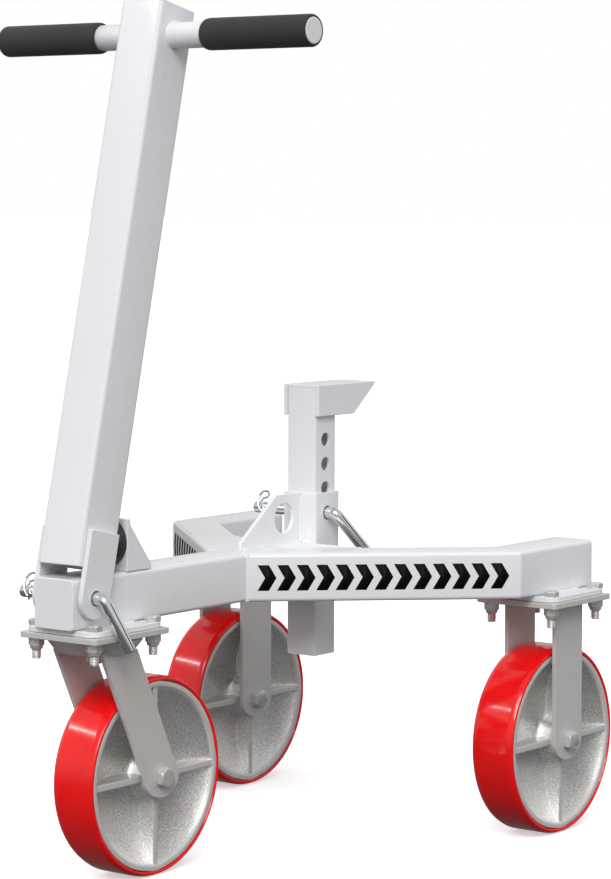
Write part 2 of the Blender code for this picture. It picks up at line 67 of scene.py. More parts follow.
def box(node):
    """Lowest and highest corner of a CAD node, in millimetres."""
    low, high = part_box(node)
    return low / MM, high / MM


def middle(node):
    low, high = box(node)
    return (low + high) / 2


# ------------------------ driving sizes

TONGUE_LOW, TONGUE_HIGH = box("tongue_tube")
TUBE = TONGUE_HIGH.x - TONGUE_LOW.x
TUBE_ROUND = 4.5
TUBE_EDGE = 1.3
GROOVE = 0.3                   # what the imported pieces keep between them
WELD_PROUD = 0.25
FRAME_BOTTOM = TONGUE_LOW.z
FRAME_TOP = TONGUE_HIGH.z
FRAME_MID = (FRAME_TOP + FRAME_BOTTOM) / 2
CROSS_LOW, CROSS_HIGH = box("cross_tube")
LEG_HIGH = box("leg_tube_right")[1]
LEG_MID = LEG_HIGH.x - TUBE / 2
ARM_ANGLE = math.radians(43)
ARM_START = box("arm_tube_right")[0].y

POST_LOW, POST_HIGH = box("post_tube")
POST = POST_HIGH.x - POST_LOW.x
POST_Y = (POST_LOW.y + POST_HIGH.y) / 2
SLEEVE_LOW, SLEEVE_HIGH = box("post_sleeve")
SLEEVE = SLEEVE_HIGH.x - SLEEVE_LOW.x
HOLE_PITCH = 26.5
PIN_RISE = 51.0                # the post's pin above the hinge pin
HOLE_R = 7.5
PIN_R = 6.35
PIN_SPLAY = math.radians(22)
PIN_HANDLE = 58.0
PIN_BEND = 8.0

joints = {joint["name"]: joint for joint in frame["joints"]}
HINGE = Vector(joints["handle_fold"]["pos_m"]) / MM
POST_PIN = at(0, POST_Y, HINGE.z + PIN_RISE)
LEAN = math.radians(12.8)
MAST_DIR = at(0, math.sin(LEAN), math.cos(LEAN))
MAST_BACK = at(0, math.cos(LEAN), -math.sin(LEAN))
MAST = 2 * box("mast_tube")[1].x
MAST_FROM = 28.1               # ends of the mast, measured along it from the hinge
MAST_TO = 602.0
BAR_CENTRE = middle("handle_bar")
BAR_HALF = box("handle_bar")[1].x
BAR_R = 13.35
GRIP_R = 16.3
GRIP_FROM = box("grip_right")[0].x

KINGPIN = Vector(joints["caster_swivel"]["pos_m"]) / MM
KINGPIN.z = 0
SPANNER_R = 9.5
FORK_INNER = 28.0
FORK_T = 4.8
PLATE_LOW, PLATE_HIGH = box("swivel_plate")
PLATE_TOP = PLATE_HIGH.z
PLATE_T = 6.0
PLATE_BOTTOM = PLATE_TOP - PLATE_T
PLATE_ROUND = 5.0
PAD_LOW, PAD_HIGH = box("caster_pad_front")


# ------------------------ shader helpers

def shader(name, colour, metallic, roughness, **sockets):
    """A Principled material with constant values, and its node tree to add detail to."""
    material = bpy.data.materials.new(name)
    material.use_nodes = True
    tree = material.node_tree
    principled = tree.nodes["Principled BSDF"]
    principled.inputs["Base Color"].default_value = (*colour, 1)
    principled.inputs["Metallic"].default_value = metallic
    principled.inputs["Roughness"].default_value = roughness
    for socket, value in sockets.items():
        principled.inputs[socket.replace("_", " ")].default_value = value
    return material, tree, principled


def noise(tree, scale, detail=3.0, rough=0.5, stretch=(1, 1, 1)):
    """Noise in the piece's own space, with so many features per metre."""
    place = tree.nodes.new("ShaderNodeTexCoord")
    mapping = tree.nodes.new("ShaderNodeMapping")
    mapping.inputs["Scale"].default_value = stretch
    grain = tree.nodes.new("ShaderNodeTexNoise")
    grain.inputs["Scale"].default_value = scale
    grain.inputs["Detail"].default_value = detail
    grain.inputs["Roughness"].default_value = rough
    tree.links.new(place.outputs["Object"], mapping.inputs["Vector"])
    tree.links.new(mapping.outputs["Vector"], grain.inputs["Vector"])
    return grain.outputs["Fac"]


def spread(tree, source, low, high, start=0.3, end=0.7):
    """Map a noise value to a number between low and high."""
    remap = tree.nodes.new("ShaderNodeMapRange")
    remap.inputs["From Min"].default_value = start
    remap.inputs["From Max"].default_value = end
    remap.inputs["To Min"].default_value = low
    remap.inputs["To Max"].default_value = high
    tree.links.new(source, remap.inputs["Value"])
    return remap.outputs["Result"]


def tone(tree, principled, source, dark, light, start=0.35, end=0.65):
    """Let a noise vary a material's colour between two colours."""
    ramp = tree.nodes.new("ShaderNodeValToRGB")
    ramp.color_ramp.elements[0].position = start
    ramp.color_ramp.elements[0].color = (*dark, 1)
    ramp.color_ramp.elements[1].position = end
    ramp.color_ramp.elements[1].color = (*light, 1)
    tree.links.new(source, ramp.inputs["Fac"])
    tree.links.new(ramp.outputs["Color"], principled.inputs["Base Color"])


def gloss(tree, principled, source, low, high):
    """Let a noise vary a material's roughness between two values."""
    tree.links.new(spread(tree, source, low, high), principled.inputs["Roughness"])


def bumps(tree, principled, layers):
    """Bump from several (height, depth in millimetres, strength) layers."""
    normal = None
    for height, depth, strength in layers:
        bump = tree.nodes.new("ShaderNodeBump")
        bump.inputs["Strength"].default_value = strength
        bump.inputs["Distance"].default_value = depth * MM
        tree.links.new(height, bump.inputs["Height"])
        if normal:
            tree.links.new(normal, bump.inputs["Normal"])
        normal = bump.outputs["Normal"]
    tree.links.new(normal, principled.inputs["Normal"])


# ------------------------ materials

def white_coat():
    """Gloss white powder coat: faint orange peel, and a little uneven in gloss and tone."""
    material, tree, coat = shader("white_coat", (0.83, 0.84, 0.865), 0.0, 0.3, Coat_Weight=0.25,
                                  Coat_Roughness=0.08)
    tone(tree, coat, noise(tree, 14), (0.828, 0.838, 0.863), (0.836, 0.846, 0.87))
    gloss(tree, coat, noise(tree, 45), 0.27, 0.33)
    bumps(tree, coat, [(noise(tree, 420, 2), 0.03, 0.25), (noise(tree, 60, 1), 0.05, 0.1)])
    return material


def zinc_steel():
    """Dull zinc plate: cloudy, with short rolling marks."""
    material, tree, zinc = shader("zinc_steel", (0.66, 0.648, 0.636), 0.22, 0.4)
    tone(tree, zinc, noise(tree, 40, 5, 0.6), (0.645, 0.633, 0.621), (0.675, 0.663, 0.651))
    gloss(tree, zinc, noise(tree, 160, 4), 0.41, 0.5)
    bumps(tree, zinc, [(noise(tree, 900, 2), 0.02, 0.4),
                       (noise(tree, 90, 2, stretch=(1, 1, 6)), 0.03, 0.2)])
    return material


def bolt_zinc():
    """Bright zinc on bolts and nuts."""
    material, tree, zinc = shader("bolt_zinc", (0.72, 0.71, 0.7), 0.55, 0.34)
    tone(tree, zinc, noise(tree, 220, 4), (0.68, 0.67, 0.66), (0.76, 0.75, 0.74))
    gloss(tree, zinc, noise(tree, 400, 3), 0.28, 0.42)
    bumps(tree, zinc, [(noise(tree, 1200, 2), 0.02, 0.4)])
    return material


def cast_silver():
    """Silver paint over a sand-cast web: coarse sparkling grain."""
    material, tree, cast = shader("cast_silver", (0.75, 0.74, 0.73), 0.8, 0.34)
    grain = noise(tree, 760, 3, 0.7)
    tone(tree, cast, grain, (0.56, 0.553, 0.546), (1.0, 0.99, 0.97), 0.42, 0.58)
    gloss(tree, cast, noise(tree, 500, 3), 0.28, 0.45)
    bumps(tree, cast, [(noise(tree, 75, 2), 0.5, 0.15), (grain, 0.55, 0.6)])
    return material


def smooth_silver():
    """The same silver on the machined edges: outer ring, rib tops and hub face."""
    material, tree, silver = shader("smooth_silver", (0.66, 0.65, 0.64), 0.22, 0.4)
    tone(tree, silver, noise(tree, 160, 4), (0.64, 0.63, 0.62), (0.68, 0.67, 0.66))
    bumps(tree, silver, [(noise(tree, 700, 3), 0.05, 0.3)])
    return material


def red_urethane():
    """Gloss cast polyurethane."""
    material, tree, red = shader("red_urethane", (0.92, 0.004, 0.005), 0.0, 0.14, Coat_Weight=0.2,
                                 Coat_Roughness=0.04)
    tone(tree, red, noise(tree, 35, 3), (0.88, 0.003, 0.004), (0.96, 0.005, 0.006))
    gloss(tree, red, noise(tree, 80, 4), 0.1, 0.2)
    bumps(tree, red, [(noise(tree, 30, 2), 0.5, 0.15), (noise(tree, 500, 2), 0.02, 0.2)])
    return material


def foam():
    """Closed-cell foam grip: matt charcoal with fine pores."""
    material, tree, skin = shader("foam", (0.022, 0.024, 0.027), 0.0, 0.78, Sheen_Weight=0.1,
                                  Sheen_Roughness=0.5)
    tone(tree, skin, noise(tree, 900, 3), (0.016, 0.018, 0.021), (0.029, 0.032, 0.036))
    bumps(tree, skin, [(noise(tree, 1500, 3, 0.6), 0.12, 0.7), (noise(tree, 120, 2), 0.2, 0.25)])
    return material


def even_look(name, colour, metallic, rough, rough_scale, grain, stretch=(1, 1, 1), **sockets):
    """One colour, a roughness between two values, and a grain (scale, detail, depth, strength)."""
    material, tree, skin = shader(name, colour, metallic, sum(rough) / 2, **sockets)
    gloss(tree, skin, noise(tree, rough_scale, 3, stretch=stretch), *rough)
    scale, detail, depth, strength = grain
    bumps(tree, skin, [(noise(tree, scale, detail), depth, strength)])
    return material


def bright_bar():
    """Bright plated bar of the pull pins and their clips."""
    return even_look("bright_bar", (0.78, 0.805, 0.815), 1.0, (0.04, 0.09), 260,
                     (500, 2, 0.02, 0.12), stretch=(1, 1, 0.3))


def rubber():
    """Black moulded rubber of the bumper."""
    return even_look("rubber", (0.03, 0.031, 0.033), 0.0, (0.45, 0.65), 200, (800, 3, 0.05, 0.5))


def end_plug():
    """Pale moulded plug in each end of the handle bar."""
    return even_look("end_plug", (0.84, 0.85, 0.86), 0.0, (0.4, 0.55), 300, (900, 2, 0.03, 0.4))


def black_film():
    """Cut black vinyl."""
    return even_look("black_film", (0.004, 0.004, 0.004), 0.0, (0.5, 0.62), 90,
                     (500, 2, 0.02, 0.25), Specular_IOR_Level=0.15)


def ground_steel():
    """Bright ground steel of the bearings, with marks round the axis."""
    return even_look("ground_steel", (0.6, 0.6, 0.6), 1.0, (0.18, 0.34), 500,
                     (900, 2, 0.02, 0.3), stretch=(8, 1, 1))


# Finishes: the materials of a piece's mesh, and the name of its slot.
WHITE = ([white_coat()], "white_coat")
ZINC = ([zinc_steel()], "zinc_steel")
BOLT = ([bolt_zinc()], "zinc_steel")
NIPPLE = (BOLT[0], "brass")
CHROME = ([bright_bar()], "bright_pin")
RIM = ([cast_silver(), smooth_silver()], "cast_rim")
RED = ([red_urethane()], "red_tyre")
FOAM = ([foam()], "foam_grip")
RUBBER = ([rubber()], "black_rubber")
PLUG = ([end_plug()], "white_coat")
BLACK = ([black_film()], "white_coat")
STEEL = ([ground_steel()], "bearing_steel")


# ------------------------ drawing helpers

def basis(direction):
    """A direction and two unit vectors square to it, the last as near to +Z as it can be."""
    along = Vector(direction).normalized()
    up = REARWARD if abs(along.dot(UP)) > 0.999 else UP
    side = along.cross(up).normalized()
    return along, side, side.cross(along)


def skin(bm, rings, closed=False):
    """Faces between neighbouring rings of equal length."""
    pairs = list(zip(rings, rings[1:]))
    if closed:
        pairs.append((rings[-1], rings[0]))
    for low, high in pairs:
        for i in range(len(low)):
            j = (i + 1) % len(low)
            bm.faces.new((low[i], low[j], high[j], high[i]))


def loft(bm, rings):
    """A closed solid through rings of points, with flat ends."""
    made = [[bm.verts.new(point) for point in ring] for ring in rings]
    skin(bm, made)
    bm.faces.new(made[0])
    bm.faces.new(made[-1])


def circle(centre, side, up, radius, steps, turn=0.0):
    points = []
    for i in range(steps):
        angle = 2 * math.pi * i / steps + turn
        points.append(centre + (side * math.cos(angle) + up * math.sin(angle)) * radius)
    return points


def lathe(bm, profile, centre, direction, steps=96):
    """Turn a closed profile of (distance along the axis, radius) about the axis."""
    along, side, up = basis(direction)
    rings = [[bm.verts.new(point) for point in circle(centre + along * a, side, up, r, steps)]
             for a, r in profile]
    skin(bm, rings, closed=True)


def turned(bm, sections, centre, direction, steps=48, turn=0.0):
    """A solid of round or hexagonal sections: (distance along the axis, radius)."""
    along, side, up = basis(direction)
    loft(bm, [circle(centre + along * a, side, up, r, steps, turn) for a, r in sections])


def hexagon(bm, start, end, corner_r, centre, direction, crown=1.2, rim=0.4, turn=0.0):
    """A hexagonal head or nut whose corners are chamfered by a cone at both ends."""
    along, side, up = basis(direction)
    steps = 48
    flat = corner_r * math.cos(math.pi / 6)
    length = abs(end - start)
    sign = 1 if end > start else -1

    def reach(angle):
        """Radius of the hexagon at an angle."""
        return flat / math.cos((angle + math.pi / 6) % (math.pi / 3) - math.pi / 6)

    rings = []
    for a, limit in ((0, flat - 0.3), (rim, flat + 0.35), (rim * 2.2, corner_r),
                     (length - crown, corner_r), (length - crown * 0.45, flat + 0.35),
                     (length, flat - 0.9)):
        ring = []
        for i in range(steps):
            angle = 2 * math.pi * i / steps
            radius = min(reach(angle), limit)
            spin = angle + turn
            ring.append(centre + along * (start + sign * a)
                        + (side * math.cos(spin) + up * math.sin(spin)) * radius)
        rings.append(ring)
    loft(bm, rings)


def thread(bm, start, end, radius, centre, direction, pitch=1.5, depth=0.55, steps=24):
    """A screw thread: the radius climbs and falls once in each pitch, one turn a pitch."""
    along, side, up = basis(direction)
    stations = max(2, int(abs(end - start) / pitch * 4))
    rings = []
    for k in range(stations + 1):
        share = k / stations
        a = start + (end - start) * share
        fade = min(1.0, (1 - share) * stations / 4)
        ring = []
        for i in range(steps):
            angle = 2 * math.pi * i / steps
            phase = (abs(a - start) / pitch - i / steps) % 1
            groove = depth * (1 - abs(2 * phase - 1)) + (1 - fade) * depth
            ring.append(centre + along * a
                        + (side * math.cos(angle) + up * math.sin(angle)) * (radius - groove))
        rings.append(ring)
    loft(bm, rings)


def slab(bm, outline, origin, u, v, thickness):
    """Extrude an outline of (u, v) points by a thickness along u x v."""
    u = Vector(u).normalized()
    v = Vector(v).normalized()
    depth = u.cross(v) * thickness
    near = [origin + u * a + v * b for a, b in outline]
    loft(bm, [near, [point + depth for point in near]])


def rounded_rectangle(width, height, radius, steps=6):
    """Outline of a rectangle with rounded corners, centred on zero."""
    points = []
    for quarter in range(4):
        corner_u = (width / 2 - radius) * (1 if quarter in (0, 3) else -1)
        corner_v = (height / 2 - radius) * (1 if quarter in (0, 1) else -1)
        for i in range(steps + 1):
            angle = math.pi / 2 * (quarter + i / steps)
            points.append((corner_u + radius * math.cos(angle), corner_v + radius * math.sin(angle)))
    return points


def section(outline, origin, direction, point, normal):
    """The outline carried along a direction until it meets a plane."""
    along, side, up = basis(direction)
    ring = []
    for a, b in outline:
        base = origin + side * a + up * b
        ring.append(base + along * ((point - base).dot(normal) / along.dot(normal)))
    return ring


def straight_tube(bm, origin, direction, size, wall, radius, start, end, closed_end=False):
    """A square tube from one distance to another along its axis."""
    along = Vector(direction).normalized()
    outer = rounded_rectangle(size, size, radius)
    inner = rounded_rectangle(size - 2 * wall, size - 2 * wall, max(radius - wall, 1.0))

    def ring(outline, distance):
        return [bm.verts.new(p)
                for p in section(outline, origin, along, origin + along * distance, along)]

    outer_start = ring(outer, start)
    outer_end = ring(outer, end)
    inner_start = ring(inner, start)
    inner_end = ring(inner, end - wall if closed_end else end)
    skin(bm, [inner_start, outer_start, outer_end])
    if closed_end:
        skin(bm, [inner_end, inner_start])
        bm.faces.new(outer_end)
        bm.faces.new(inner_end)
    else:
        skin(bm, [outer_end, inner_end, inner_start])


def smooth_path(points, steps):
    """Points along a Catmull-Rom curve through the given points."""
    ends = [points[0] * 2 - points[1]] + points + [points[-1] * 2 - points[-2]]
    path = []
    for a, b, c, d in zip(ends, ends[1:], ends[2:], ends[3:]):
        for i in range(steps):
            t = i / steps
            path.append(0.5 * (2 * b + (c - a) * t + (2 * a - 5 * b + 4 * c - d) * t * t
                               + (3 * b - a - 3 * c + d) * t ** 3))
    path.append(points[-1])
    return path


def heading(points, i):
    """From the point before to the point after the i-th."""
    return points[min(i + 1, len(points) - 1)] - points[max(i - 1, 0)]


def bent_rod(bm, path, radius, flat_normal, steps=32, tip=0.0, tail=0.0):
    """A round rod along a path that lies square to flat_normal, with rounded ends."""
    normal = Vector(flat_normal).normalized()
    first = (path[1] - path[0]).normalized()
    last = (path[-1] - path[-2]).normalized()
    stations = [(p, radius) for p in path[1:-1]]
    for share in (0.0, 0.3, 0.7, 1.0):
        stations.insert(0, (path[0] + first * tip * (1 - share), radius - tip * share ** 2))
        stations.append((path[-1] - last * tail * (1 - share), radius - tail * share ** 2))
    rings = []
    centres = [point for point, r in stations]
    for i, (point, r) in enumerate(stations):
        along = heading(centres, i)
        if along.length < 1e-6:
            along = first if i < 2 else last
        across = normal.cross(along).normalized()
        rings.append(circle(point, across, normal, r, steps))
    loft(bm, rings)


def bead(bm, points, radius):
    """A weld bead along a polyline, with the ripples of its pool."""
    path = []
    for a, b in zip(points, points[1:]):
        count = max(2, int((b - a).length / 0.8))
        path += [a + (b - a) * (i / count) for i in range(count)]
    path.append(points[-1])
    rings = []
    for i, point in enumerate(path):
        side, up = basis(heading(path, i))[1:]
        edge = min(i, len(path) - 1 - i)
        taper = min(1.0, 0.4 + edge * 0.3)
        ripple = 1 + 0.06 * math.sin(i * 2.1)
        rings.append(circle(point, side, up, radius * taper * ripple, 12))
    loft(bm, rings)


def metre_mesh(name, bm):
    """A mesh in metres from a shape that was drawn in millimetres."""
    bmesh.ops.recalc_face_normals(bm, faces=bm.faces)
    bmesh.ops.scale(bm, vec=(MM, MM, MM), verts=bm.verts)
    mesh = bpy.data.meshes.new(name)
    bm.to_mesh(mesh)
    bm.free()
    return mesh


DRILL_HALF = 50.0


def drill(piece, holes):
    """Cut round holes along X, given as (centre, radius), through a piece."""
    for centre, radius in holes:
        bm = bmesh.new()
        turned(bm, [(-DRILL_HALF, radius), (DRILL_HALF, radius)], centre, RIGHT)
        cutter = bpy.data.objects.new("cutter", metre_mesh("cutter", bm))
        bpy.context.scene.collection.objects.link(cutter)
        step = piece.modifiers.new("hole", "BOOLEAN")
        step.operation = "DIFFERENCE"
        step.solver = "EXACT"
        step.object = cutter
        bpy.context.view_layer.update()
        result = piece.evaluated_get(bpy.context.evaluated_depsgraph_get())
        piece.data = bpy.data.meshes.new_from_object(result)
        piece.modifiers.clear()
        bpy.data.objects.remove(cutter)


def shape(name, bm, nodes=(), finish=WHITE, body="frame", edge=0.0, holes=(), smooth=0,
          offset=Vector()):
    """Make a piece from a mesh in millimetres, which stands for CAD nodes and rides on a body."""
    materials, slot = finish
    mesh = metre_mesh(name, bm)
    for material in materials:
        mesh.materials.append(material)
    piece = bpy.data.objects.new(name, mesh)
    piece.location = offset * MM
    bpy.context.scene.collection.objects.link(piece)
    drill(piece, holes)
    return dress(piece, body, nodes, edge, smooth)


def dress(piece, body, nodes, edge=0.0, smooth=0):
    """Smooth a piece, round its edges and tell the frame what it belongs to."""
    piece.data.shade_smooth()
    if edge:
        rounding = piece.modifiers.new("edges", "BEVEL")
        rounding.width = edge * MM
        rounding.segments = 3
        rounding.limit_method = "ANGLE"
        rounding.angle_limit = math.radians(32)
        rounding.harden_normals = True
    if smooth:
        finer = piece.modifiers.new("finer", "SUBSURF")
        finer.levels = smooth
        finer.render_levels = smooth
    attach(piece, body)
    if nodes:
        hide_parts(*nodes)
    return piece


def repeat(rows, bm, finish, edge=0.0, smooth=0):
    """Pieces that share one mesh, from rows of (name, offset, body, CAD node)."""
    name, offset, body, node = rows[0]
    first = shape(name, bm, [node], finish, body, edge, smooth=smooth, offset=offset)
    for name, offset, body, node in rows[1:]:
        piece = bpy.data.objects.new(name, first.data)
        piece.location = offset * MM
        bpy.context.scene.collection.objects.link(piece)
        dress(piece, body, [node], edge, smooth)


# ------------------------ frame

TUBE_OUTLINE = rounded_rectangle(TUBE, TUBE, TUBE_ROUND)
# Along each arm from the tongue, and from its front face to its back.
ARM_RUN = {side: at(sign * math.cos(ARM_ANGLE), math.sin(ARM_ANGLE), 0) for side, sign in SIDES}
ARM_BACK = {side: at(-sign * math.sin(ARM_ANGLE), math.cos(ARM_ANGLE), 0) for side, sign in SIDES}
SLEEVE_WALL = 2.8
SLEEVE_ROUND = 3.5
GUSSET_SLOPE = 61.0            # length along Y of the gusset's sloped edge
GUSSET_TOE = 6.7
CHAIN_HOLE = at(0, POST_Y - 51.6, POST_PIN.z - 3)
CHAIN_HOLE_R = 16.5


def tongue():
    bm = bmesh.new()
    origin = at(0, 0, FRAME_MID)
    loft(bm, [section(TUBE_OUTLINE, origin, REARWARD, at(0, y, 0), REARWARD)
              for y in (TONGUE_LOW.y, TONGUE_HIGH.y + WELD_PROUD)])
    shape("tongue", bm, ["tongue_tube"], edge=TUBE_EDGE)


def arm_corner(sign):
    """Outer and inner plan corners of the mitre between an arm and its leg."""
    slope = math.tan(ARM_ANGLE)
    outer_x = LEG_HIGH.x
    outer_y = ARM_START + (outer_x - TUBE / 2) * slope
    inner_x = outer_x - TUBE
    inner_y = ARM_START + (inner_x - TUBE / 2) * slope + TUBE / math.cos(ARM_ANGLE)
    return at(sign * outer_x, outer_y, 0), at(sign * inner_x, inner_y, 0)


def arm(side, sign):
    """An arm and its leg: one square tube, mitred at the corner and capped at the rear."""
    bm = bmesh.new()
    run = ARM_RUN[side]
    origin = at(sign * TUBE / 2, ARM_START, FRAME_MID) + ARM_BACK[side] * TUBE / 2
    outer, inner = arm_corner(sign)
    mitre = (outer - inner).cross(UP).normalized()
    leg_origin = at(sign * LEG_MID, 0, FRAME_MID)
    loft(bm, [section(TUBE_OUTLINE, origin, run, at(sign * TUBE / 2, 0, 0), RIGHT),
              section(TUBE_OUTLINE, origin, run, outer, mitre),
              section(TUBE_OUTLINE, leg_origin, REARWARD, at(0, LEG_HIGH.y, 0), REARWARD)])
    shape("arm_" + side, bm, ["arm_tube_" + side, "leg_tube_" + side], edge=TUBE_EDGE)


def cross_tube():
    bm = bmesh.new()
    origin = at(0, (CROSS_LOW.y + CROSS_HIGH.y) / 2, FRAME_MID)
    rings = []
    for side, sign in reversed(SIDES):
        face = at(sign * TUBE / 2, ARM_START, 0) + ARM_BACK[side] * TUBE
        rings.append(section(TUBE_OUTLINE, origin, RIGHT, face, ARM_BACK[side]))
    loft(bm, rings)
    shape("cross_tube_face", bm, ["cross_tube"])


def sleeve():
    bm = bmesh.new()
    straight_tube(bm, at(0, POST_Y, 0), UP, SLEEVE, SLEEVE_WALL, SLEEVE_ROUND,
                  SLEEVE_LOW.z, SLEEVE_HIGH.z)
    shape("sleeve", bm, ["post_sleeve"], edge=0.8, holes=[(POST_PIN, HOLE_R)])


def gusset():
    """Plate between the tongue and the sleeve, with the safety-chain hole."""
    low, high = box("frame_gusset")
    bm = bmesh.new()
    slab(bm, [(low.y, low.z - GROOVE), (high.y + GROOVE, low.z - GROOVE), (high.y + GROOVE, high.z),
              (low.y + GUSSET_SLOPE, high.z), (low.y, low.z + GUSSET_TOE)],
         at(low.x, 0, 0), REARWARD, UP, high.x - low.x)
    shape("gusset", bm, ["frame_gusset"], edge=0.9,
          holes=[(CHAIN_HOLE, CHAIN_HOLE_R)])


def corner_fills():
    """Dressed welds that fill the rounded tube corners where tubes meet flush."""
    bm = bmesh.new()
    for z in (FRAME_TOP - TUBE_ROUND, FRAME_BOTTOM + TUBE_ROUND):
        for side, sign in SIDES:
            start = at(sign * (TUBE / 2 - TUBE_ROUND * 0.5), ARM_START, z)
            reach = TUBE / math.cos(ARM_ANGLE)
            fill_bar(bm, start + REARWARD * 1.5, start + REARWARD * (reach - 1.5))
            face = at(sign * TUBE / 2, ARM_START, z) + ARM_BACK[side] * (TUBE - TUBE_ROUND * 0.5)
            first = face + ARM_RUN[side] * (CROSS_LOW.y - face.y + 2) / ARM_RUN[side].y
            last = face + ARM_RUN[side] * (CROSS_HIGH.y - face.y - 2) / ARM_RUN[side].y
            fill_bar(bm, first, last)
    shape("corner_welds", bm, edge=1.0)


def fill_bar(bm, start, end):
    """A bar as deep as a tube's corner round, standing just proud of the tubes' faces."""
    half = TUBE_ROUND + WELD_PROUD
    outline = rounded_rectangle(2 * half, 2 * half, 2.2, 3)
    direction = end - start
    loft(bm, [section(outline, start, direction, point, direction.normalized())
              for point in (start, end)])


GUSSET_BEAD = 1.7
SLEEVE_BEAD = 2.2
SLEEVE_FOOT_BEAD = 1.8
PAD_BEAD = 2.0
PAD_BEAD_HALF = 33.0


def fillet_welds():
    """Small fillet beads where plates and tubes stand on each other."""
    bm = bmesh.new()
    gusset_low, gusset_high = box("frame_gusset")
    for sign in (1, -1):
        x = sign * (gusset_high.x + 0.6)
        bead(bm, [at(x, gusset_low.y + 2, FRAME_TOP + 0.4),
                  at(x, gusset_high.y - 0.5, FRAME_TOP + 0.4),
                  at(x, gusset_high.y - 0.2, gusset_high.z - 3)], GUSSET_BEAD)
        x = sign * SLEEVE / 2
        y = SLEEVE_LOW.y - 0.2
        bead(bm, [at(x, y, FRAME_BOTTOM + 3), at(x, y, FRAME_TOP - 3)], SLEEVE_BEAD)
        bead(bm, [at(x * 0.8, y, FRAME_TOP + 0.2),
                  at(sign * 4, y, FRAME_TOP + 0.2)], SLEEVE_FOOT_BEAD)
    for place in PLACES:
        centre = middle("caster_pad_" + place)
        for sign in (1, -1):
            x = centre.x + sign * (TUBE / 2 - 2.6)
            bead(bm, [at(x, centre.y - PAD_BEAD_HALF, PAD_HIGH.z + 0.6),
                      at(x, centre.y + PAD_BEAD_HALF, PAD_HIGH.z + 0.6)], PAD_BEAD)
    shape("fillet_welds", bm)


# ------------------------ caster mountings

PAD_ROUND = 14.0
BOLT_R = 4.75
HEX_R = 8.2
HEAD_H = 6.3
NUT_H = 9.0
# Collar of the plate bolts' lock nuts: (distance below the plate, radius).
NUT_COLLAR = [(8.5, 6.7), (11.2, 6.3), (12.3, 5.4), (12.4, 3.0)]


def caster_pad(place):
    centre = middle("caster_pad_" + place)
    bm = bmesh.new()
    outline = rounded_rectangle(PAD_HIGH.x - PAD_LOW.x, PAD_HIGH.y - PAD_LOW.y, PAD_ROUND)
    slab(bm, outline, at(centre.x, centre.y, PAD_LOW.z), RIGHT, REARWARD,
         PAD_HIGH.z - PAD_LOW.z + WELD_PROUD)
    shape("pad_" + place, bm, ["caster_pad_" + place], edge=1.0)


def draw_plate(bm, x, y):
    """A caster's top plate, 4 by 4.5 inches with rounded corners."""
    outline = rounded_rectangle(PLATE_HIGH.x - PLATE_LOW.x, PLATE_HIGH.y - PLATE_LOW.y, PLATE_ROUND)
    slab(bm, outline, at(x, y, PLATE_BOTTOM), RIGHT, REARWARD, PLATE_T)


def plate_bolts():
    """Hexagon bolts and lock nuts at the four corners of each caster plate."""
    bm = bmesh.new()
    head_base = PAD_HIGH.z
    hexagon(bm, head_base, head_base + HEAD_H, HEX_R, Vector(), UP)
    hexagon(bm, PLATE_BOTTOM, PLATE_BOTTOM - NUT_H, HEX_R, Vector(), UP)
    turned(bm, [(PLATE_BOTTOM - down, r) for down, r in NUT_COLLAR], Vector(), UP)
    thread(bm, PLATE_BOTTOM - NUT_H - 3, box("plate_bolt_front_1")[0].z, BOLT_R, Vector(), UP)
    turned(bm, [(PLATE_BOTTOM - 1, BOLT_R), (head_base + 1, BOLT_R)], Vector(), UP, 24)
    rows = []
    for place in PLACES:
        for number in range(1, 5):
            name = "bolt_%s_%d" % (place, number)
            centre = middle("plate_" + name)
            rows.append((name, at(centre.x, centre.y, 0), "frame", "plate_" + name))
    repeat(rows, bm, BOLT, edge=0.25)


# ------------------------ wheels

# Rings of the rim's face, from the hub's bore outward: (radius, distance from the middle plane).
RIM_RINGS = [(15.3, 26.2), (16.4, 27.2), (20.2, 27.2), (21.0, 26.4), (21.6, 23.0), (22.6, 12.0),
             (24.6, 7.6), (28.5, 5.6), (36.0, 4.6), (46.0, 5.0), (56.0, 6.6), (66.0, 9.2),
             (75.0, 12.6), (82.0, 16.2), (87.0, 19.8), (89.6, 22.4), (90.8, 24.2), (91.8, 24.9),
             (94.5, 24.9), (96.2, 24.9), (96.8, 24.2)]
# Half of a rib's section: (distance from its middle, drop from its top).
RIB_STEPS = [(0.0, 0.0), (3.0, 0.0), (3.4, 0.4), (3.6, 3.0), (4.0, 17.4)]
RIB_FOOT = 4.8
RIB_TOP = 23.6
RIB_INNER = 21.0
RIB_OUTER = 91.5
SMOOTH_TOP = 22.4              # faces farther out than this are machined smooth
WEB_COLUMNS = 6


def quarter_of_ring(r, depth):
    """Angles and heights over a quarter of a ring: half a rib, the open web and half a rib."""
    ribbed = RIB_INNER < r < RIB_OUTER
    rib = [(math.asin(offset / r), max(depth, RIB_TOP - drop) if ribbed else depth)
           for offset, drop in RIB_STEPS]
    edge = math.asin(RIB_FOOT / r)
    rib.append((edge, depth))
    web = [(edge + (math.pi / 2 - 2 * edge) * k / WEB_COLUMNS, depth) for k in range(1, WEB_COLUMNS)]
    return rib + web + [(math.pi / 2 - angle, height) for angle, height in reversed(rib[1:])]


def rim_side(bm, sign):
    """One face of the cast rim: hub, dished web, four ribs and the outer ring."""
    rings = []
    for r, depth in RIM_RINGS:
        ring = []
        for quarter in range(4):
            for angle, height in quarter_of_ring(r, depth):
                turn = angle + quarter * math.pi / 2
                ring.append(bm.verts.new((sign * height, math.cos(turn) * r, math.sin(turn) * r)))
        rings.append(ring)
    return rings


